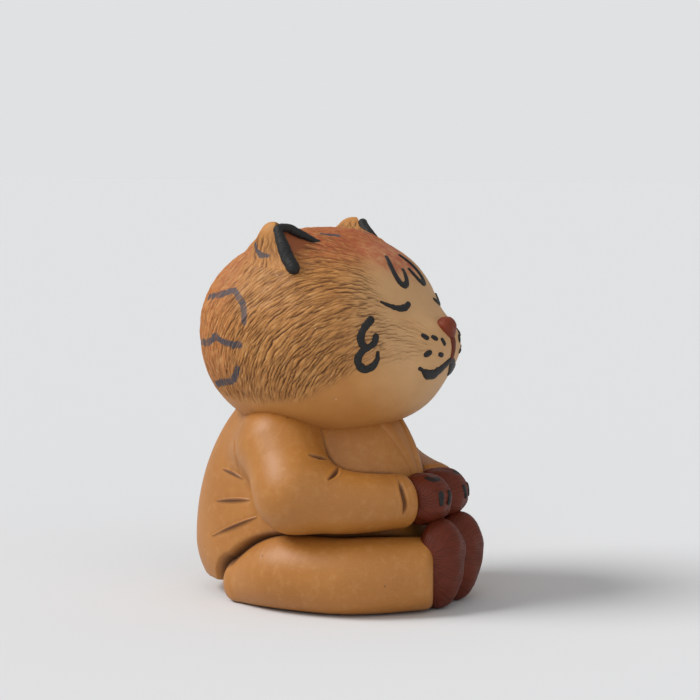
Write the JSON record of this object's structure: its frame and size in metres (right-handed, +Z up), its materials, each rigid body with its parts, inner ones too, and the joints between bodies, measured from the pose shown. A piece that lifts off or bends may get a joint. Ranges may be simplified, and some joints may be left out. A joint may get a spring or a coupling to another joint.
{
  "type": "tiger tea pet",
  "caption": "Small hollow clay figure of a sitting tiger cub in a robe, with a round combed-fur head, closed eyes and paws folded in its lap, standing on a flat base",
  "frame": {"origin": "on the resting plane, midway between the front of the feet and the back of the robe, on the plane of symmetry", "axes": "+Z up, the tiger faces -Y, its right side is -X"},
  "size_m": [0.0508, 0.0558, 0.0706],
  "materials": {
    "tan_clay": "unglazed, combed, satin",
    "ochre_clay": "unglazed, burnished, satin",
    "red_clay": "unglazed, burnished, satin",
    "black_clay": "unglazed, grainy, matt"
  },
  "bodies": {
    "root": {"base_plate": "ochre_clay", "head_shell": "tan_clay", "left_brow_stroke": "black_clay", "left_cheek_stroke": "black_clay", "left_claw_inner": "black_clay", "left_claw_outer": "black_clay", "left_crown_stripe": "black_clay", "left_ear": "tan_clay", "left_ear_back_coil": "black_clay", "left_ear_front_coil": "black_clay", "left_eyelid": "black_clay", "left_foot": "red_clay", "left_hand": "red_clay", "left_lapel": "ochre_clay", "left_leg": "ochre_clay", "left_nape_stripe_lower": "black_clay", "left_nape_stripe_middle": "black_clay", "left_nape_stripe_upper": "black_clay", "left_sleeve": "ochre_clay", "left_whisker_dot_1": "black_clay", "left_whisker_dot_2": "black_clay", "left_whisker_dot_3": "black_clay", "left_whisker_dot_4": "black_clay", "left_whisker_dot_5": "black_clay", "lip_line": "red_clay", "mouth_stroke": "black_clay", "nose": "red_clay", "right_brow_stroke": "black_clay", "right_cheek_stroke": "black_clay", "right_claw_inner": "black_clay", "right_claw_outer": "black_clay", "right_crown_stripe": "black_clay", "right_ear": "tan_clay", "right_ear_back_coil": "black_clay", "right_ear_front_coil": "black_clay", "right_eyelid": "black_clay", "right_foot": "red_clay", "right_hand": "red_clay", "right_lapel": "ochre_clay", "right_leg": "ochre_clay", "right_nape_stripe_lower": "black_clay", "right_nape_stripe_middle": "black_clay", "right_nape_stripe_upper": "black_clay", "right_sleeve": "ochre_clay", "right_whisker_dot_1": "black_clay", "right_whisker_dot_2": "black_clay", "right_whisker_dot_3": "black_clay", "right_whisker_dot_4": "black_clay", "right_whisker_dot_5": "black_clay", "robe_body": "ochre_clay"}
  },
  "joints": []
}
